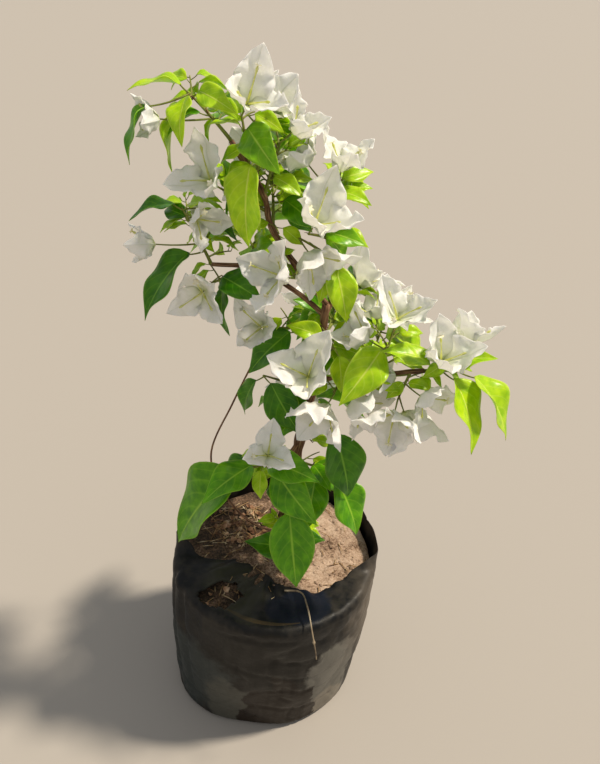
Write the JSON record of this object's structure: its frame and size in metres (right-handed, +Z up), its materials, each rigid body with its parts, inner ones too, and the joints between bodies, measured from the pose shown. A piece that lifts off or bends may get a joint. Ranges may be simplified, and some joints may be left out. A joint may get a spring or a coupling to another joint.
{
  "type": "potted bougainvillea bush",
  "caption": "Young bougainvillea bush with leaning bare stem, drooping leaves and white papery blossom, in a black film grow bag of soil.",
  "frame": {"origin": "middle of the flat underside of the grow bag", "axes": "+Z up along the height of the bush, +Y away from the viewer of the picture, +X to the viewer's right, where the longest side bough reaches"},
  "size_m": [0.3279, 0.2683, 0.6913],
  "materials": {
    "bag_film": "creased black polythene film, dusty, satin",
    "soil": "dry sandy loam, matt",
    "bark": "young brown bark, matt",
    "foliage": "leaf green with white papery bracts, satin"
  },
  "bodies": {
    "root": {"grow_bag": "bag_film", "potting_soil": "soil", "trunk": "bark", "left_leader": "bark", "upper_right_bough": "bark", "right_bough": "bark", "left_bough": "bark", "low_front_bough": "bark", "back_bough": "bark", "bare_shoot": "bark", "spray_top_left": "foliage", "spray_top": "foliage", "spray_top_right": "foliage", "spray_upper_left": "foliage", "spray_centre_front": "foliage", "spray_middle_front": "foliage", "spray_left_shoot": "foliage", "spray_left_low": "foliage", "spray_upper_right": "foliage", "spray_right_shoulder": "foliage", "spray_middle_right": "foliage", "spray_centre_left": "foliage", "spray_centre_right": "foliage", "spray_centre_low": "foliage", "spray_inner_low": "foliage", "spray_inner_top": "foliage", "spray_right_tip": "foliage", "spray_right_low": "foliage", "spray_low_left": "foliage", "spray_low_right": "foliage", "spray_low_front": "foliage", "spray_foot_front": "foliage", "spray_foot_right": "foliage", "spray_foot": "foliage", "spray_back_crown": "foliage", "spray_back_top": "foliage", "spray_back_shoulder": "foliage", "spray_back_left": "foliage", "spray_back_right": "foliage", "spray_back_middle": "foliage", "spray_back_low": "foliage", "spray_back_foot": "foliage"}
  },
  "joints": []
}
